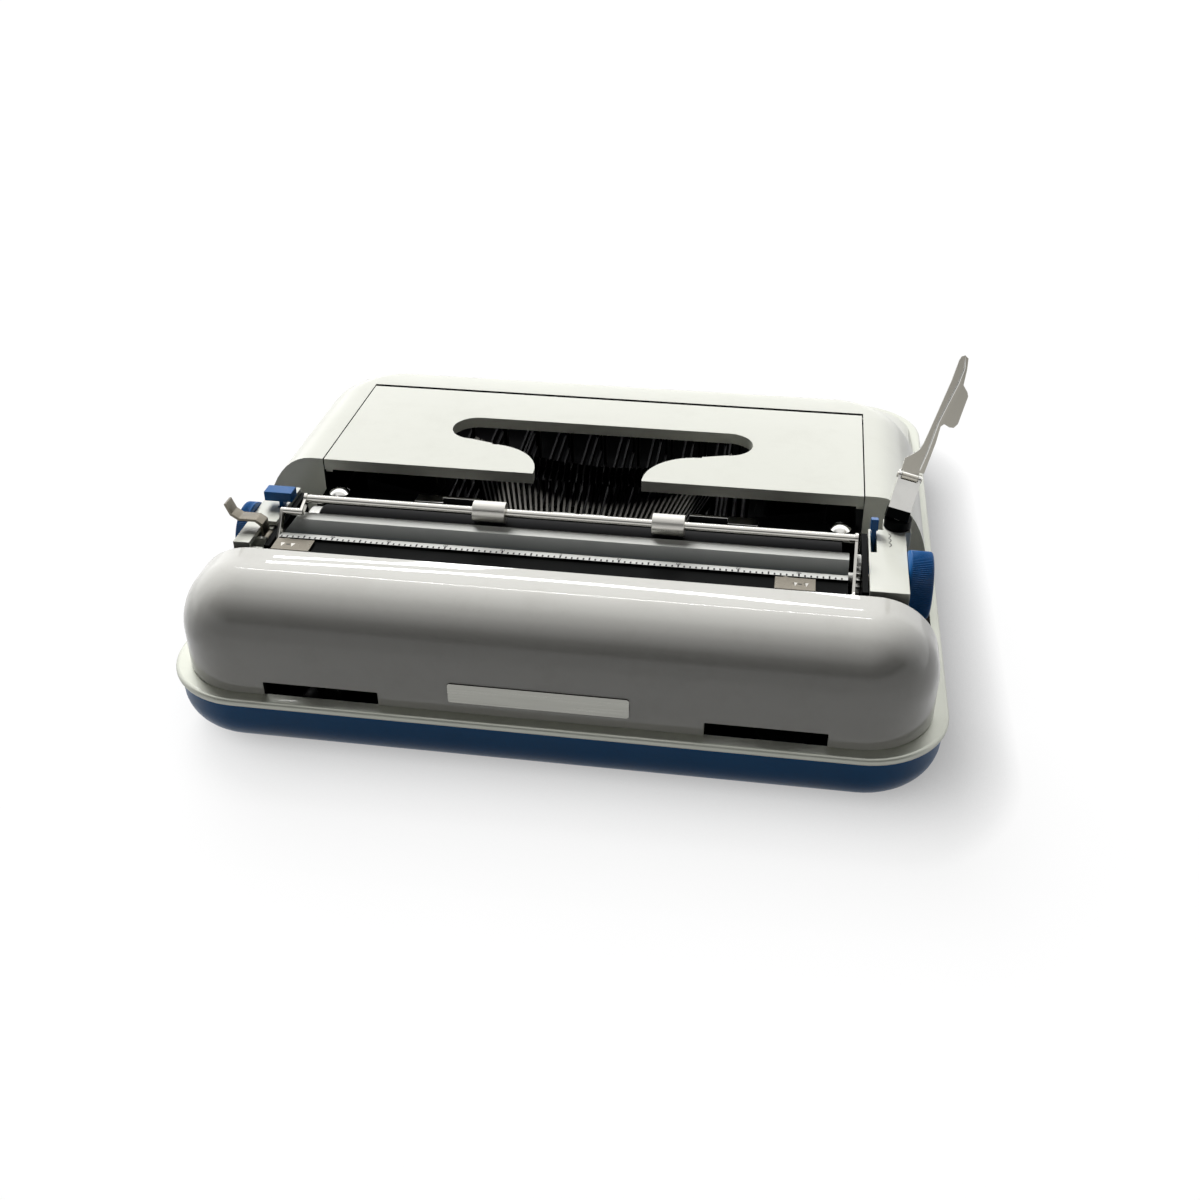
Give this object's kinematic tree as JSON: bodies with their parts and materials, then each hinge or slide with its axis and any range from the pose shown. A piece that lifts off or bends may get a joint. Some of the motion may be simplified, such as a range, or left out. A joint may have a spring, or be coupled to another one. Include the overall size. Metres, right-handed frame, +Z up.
{
  "type": "manual typewriter",
  "caption": "Portable manual typewriter with enamelled covers, open type basket, sliding carriage with platen, paper bail and return lever, and a sprung keyboard",
  "frame": {"origin": "on the desk under the middle of the base", "axes": "X to the typist's right, Y from the typist to the rear, Z up"},
  "size_m": [0.3362, 0.34, 0.1468],
  "materials": {
    "cover_grey": "glossy stoved enamel, light warm grey",
    "top_white": "semi-gloss enamel, off-white",
    "trim_grey": "satin enamel, greenish grey",
    "pan_blue": "satin enamel, blue",
    "blue_plastic": "moulded, blue",
    "black_paint": "black enamel",
    "steel": "bare or nickel-plated steel",
    "chrome": "polished plating",
    "lever_taupe": "satin enamel, taupe",
    "aluminium": "brushed sheet",
    "brass": "turned and cast brass",
    "rubber": "black rubber",
    "keys": "moulded key tops, black",
    "scale_white": "white with black divisions",
    "ribbon": "inked cloth"
  },
  "bodies": {
    "frame": {"base_pan": "pan_blue", "rim_trim": "trim_grey", "rear_cover": "cover_grey", "top_cover": "top_white", "rear_plate": "aluminium", "rubber_feet": "rubber", "foot_screws": "steel", "main_frame": "black_paint", "deck_studs": "chrome", "type_guide": "steel", "ribbon_guides": "chrome", "ribbon": "ribbon", "fulcrum_shaft": "steel", "lever_comb": "black_paint", "bell": "brass", "carriage_rails": "steel"},
    "basket": {"segment": "steel", "typebars": "steel"},
    "typebar": {"live_typebar": "steel"},
    "lid": {"ribbon_cover": "top_white"},
    "left_spool": {"spool_left": "black_paint"},
    "right_spool": {"spool_right": "black_paint"},
    "row_1": {"keys_row_1": "keys", "levers_row_1": "steel"},
    "row_2": {"keys_row_2": "keys", "levers_row_2": "steel"},
    "row_3": {"keys_row_3": "keys", "levers_row_3": "steel"},
    "row_4": {"keys_row_4": "keys", "levers_row_4": "steel"},
    "live": {"live_key": "keys", "live_lever": "steel"},
    "space": {"space_bar": "keys", "space_lever": "steel"},
    "shift": {"shift_keys": "keys", "shift_yoke": "steel"},
    "backspace": {"backspace_key": "keys"},
    "margin_release": {"margin_release_key": "keys"},
    "selector": {"ribbon_selector": "keys"},
    "escape": {"escape_wheel": "brass"},
    "drum": {"spring_drum": "brass"},
    "carriage": {"carriage_frame": "black_paint", "paper_table": "aluminium", "margin_scale": "scale_white", "margin_rail": "black_paint", "end_cover_left": "cover_grey", "end_cover_right": "cover_grey"},
    "left_stop": {"margin_stop_left": "chrome"},
    "right_stop": {"margin_stop_right": "chrome"},
    "roller": {"platen": "rubber", "platen_shaft": "steel", "platen_knobs": "blue_plastic"},
    "feed": {"feed_roller": "rubber"},
    "bail_arm": {"bail": "chrome"},
    "bail_wheels": {"bail_rollers": "steel"},
    "bracket": {"lever_bracket": "chrome"},
    "handle": {"return_lever": "lever_taupe"},
    "paper_lever": {"paper_release": "blue_plastic"},
    "line_lever": {"line_selector": "blue_plastic"},
    "free_lever": {"carriage_release": "chrome"}
  },
  "joints": [
    {"name": "row_1_press", "type": "hinge", "parent": "frame", "child": "row_1", "pos_m": [0, -0.006, 0.011], "axis": [1, 0, 0], "range_deg": [0, 5.9], "stiffness_Nm_per_rad": 0.8, "springref_deg": -20.05},
    {"name": "row_2_press", "type": "hinge", "parent": "frame", "child": "row_2", "pos_m": [0, -0.006, 0.011], "axis": [1, 0, 0], "range_deg": [0, 5.2], "stiffness_Nm_per_rad": 0.8, "springref_deg": -20.05},
    {"name": "row_3_press", "type": "hinge", "parent": "frame", "child": "row_3", "pos_m": [0, -0.006, 0.011], "axis": [1, 0, 0], "range_deg": [0, 4.6], "stiffness_Nm_per_rad": 0.8, "springref_deg": -20.05},
    {"name": "row_4_press", "type": "hinge", "parent": "frame", "child": "row_4", "pos_m": [0, -0.006, 0.011], "axis": [1, 0, 0], "range_deg": [0, 4.1], "stiffness_Nm_per_rad": 0.8, "springref_deg": -20.05},
    {"name": "live_press", "type": "hinge", "parent": "frame", "child": "live", "pos_m": [0, -0.006, 0.011], "axis": [1, 0, 0], "range_deg": [0, 4.6], "stiffness_Nm_per_rad": 0.3, "springref_deg": -20.05},
    {"name": "space_press", "type": "hinge", "parent": "frame", "child": "space", "pos_m": [0, -0.006, 0.011], "axis": [1, 0, 0], "range_deg": [0, 3.8], "stiffness_Nm_per_rad": 0.3, "springref_deg": -20.05},
    {"name": "shift_press", "type": "hinge", "parent": "frame", "child": "shift", "pos_m": [0, -0.006, 0.011], "axis": [1, 0, 0], "range_deg": [0, 4], "stiffness_Nm_per_rad": 2, "springref_deg": -17.19},
    {"name": "backspace_press", "type": "hinge", "parent": "frame", "child": "backspace", "pos_m": [0, -0.006, 0.011], "axis": [1, 0, 0], "range_deg": [0, 5.9], "stiffness_Nm_per_rad": 0.3, "springref_deg": -20.05},
    {"name": "margin_release_press", "type": "hinge", "parent": "frame", "child": "margin_release", "pos_m": [0, -0.006, 0.011], "axis": [1, 0, 0], "range_deg": [0, 5.9], "stiffness_Nm_per_rad": 0.3, "springref_deg": -20.05},
    {"name": "selector_tilt", "type": "hinge", "parent": "frame", "child": "selector", "pos_m": [0.122, -0.104, 0.027], "axis": [1, 0, 0], "range_deg": [-12, 12]},
    {"name": "basket_shift", "type": "slide", "parent": "frame", "child": "basket", "axis": [0, -0.6428, -0.766], "range_m": [0, 0.006]},
    {"name": "typebar_swing", "type": "hinge", "parent": "basket", "child": "typebar", "pos_m": [0, 0.03272, 0.03163], "axis": [-1, 0, 0], "range_deg": [0, 120]},
    {"name": "lid_hinge", "type": "hinge", "parent": "frame", "child": "lid", "pos_m": [0, -0.0511, 0.0744], "axis": [1, 0, 0], "range_deg": [0, 80]},
    {"name": "left_spool_spin", "type": "hinge", "parent": "frame", "child": "left_spool", "pos_m": [-0.098, 0.005, 0.055], "axis": [0, 0, 1], "continuous": true},
    {"name": "right_spool_spin", "type": "hinge", "parent": "frame", "child": "right_spool", "pos_m": [0.098, 0.005, 0.055], "axis": [0, 0, 1], "continuous": true},
    {"name": "carriage_slide", "type": "slide", "parent": "frame", "child": "carriage", "axis": [1, 0, 0], "range_m": [-0.105, 0.105]},
    {"name": "escape_spin", "type": "hinge", "parent": "frame", "child": "escape", "pos_m": [0, 0.1208, 0.047], "axis": [0, 0, 1], "continuous": true},
    {"name": "drum_spin", "type": "hinge", "parent": "frame", "child": "drum", "pos_m": [-0.1, 0.146, 0.017], "axis": [0, 0, 1], "continuous": true},
    {"name": "left_stop_slide", "type": "slide", "parent": "carriage", "child": "left_stop", "axis": [1, 0, 0], "range_m": [0, 0.09]},
    {"name": "right_stop_slide", "type": "slide", "parent": "carriage", "child": "right_stop", "axis": [1, 0, 0], "range_m": [-0.09, 0]},
    {"name": "platen_spin", "type": "hinge", "parent": "carriage", "child": "roller", "pos_m": [0, 0.09, 0.0645], "axis": [1, 0, 0], "continuous": true},
    {"name": "feed_spin", "type": "hinge", "parent": "carriage", "child": "feed", "pos_m": [0, 0.08321, 0.04585], "axis": [1, 0, 0], "continuous": true},
    {"name": "bail_lift", "type": "hinge", "parent": "carriage", "child": "bail_arm", "pos_m": [0, 0.111, 0.068], "axis": [-1, 0, 0], "range_deg": [0, 60]},
    {"name": "bail_wheel_spin", "type": "hinge", "parent": "bail_arm", "child": "bail_wheels", "pos_m": [0, 0.091, 0.08528], "axis": [1, 0, 0], "continuous": true},
    {"name": "bracket_swing", "type": "hinge", "parent": "carriage", "child": "bracket", "pos_m": [-0.1435, 0.061, 0.078], "axis": [0, 0, 1], "range_deg": [0, 35], "stiffness_Nm_per_rad": 0.2, "springref_deg": -22.92},
    {"name": "handle_fold", "type": "hinge", "parent": "bracket", "child": "handle", "pos_m": [-0.14657, 0.05385, 0.09706], "axis": [0.9767, -0.0873, 0.1962], "range_deg": [0, 60]},
    {"name": "paper_lever_tilt", "type": "hinge", "parent": "carriage", "child": "paper_lever", "pos_m": [0.1335, 0.0815, 0.057], "axis": [1, 0, 0], "range_deg": [0, 18]},
    {"name": "line_lever_tilt", "type": "hinge", "parent": "carriage", "child": "line_lever", "pos_m": [-0.133, 0.075, 0.056], "axis": [1, 0, 0], "range_deg": [-25, 0]},
    {"name": "free_lever_press", "type": "hinge", "parent": "carriage", "child": "free_lever", "pos_m": [0.134, 0.1033, 0.0705], "axis": [0, 1, 0], "range_deg": [0, 5], "stiffness_Nm_per_rad": 0.2, "springref_deg": -17.19}
  ],
  "couplings": [
    {"joint": "basket_shift", "follows": "shift_press", "m_per_rad": 0.085935},
    {"joint": "typebar_swing", "follows": "live_press", "ratio": 26.08},
    {"joint": "right_spool_spin", "follows": "left_spool_spin", "ratio": 1},
    {"joint": "escape_spin", "follows": "carriage_slide", "rad_per_m": 181.82},
    {"joint": "drum_spin", "follows": "carriage_slide", "rad_per_m": 83.333},
    {"joint": "feed_spin", "follows": "platen_spin", "ratio": -4.1447},
    {"joint": "bail_wheel_spin", "follows": "platen_spin", "ratio": -3.3158}
  ]
}
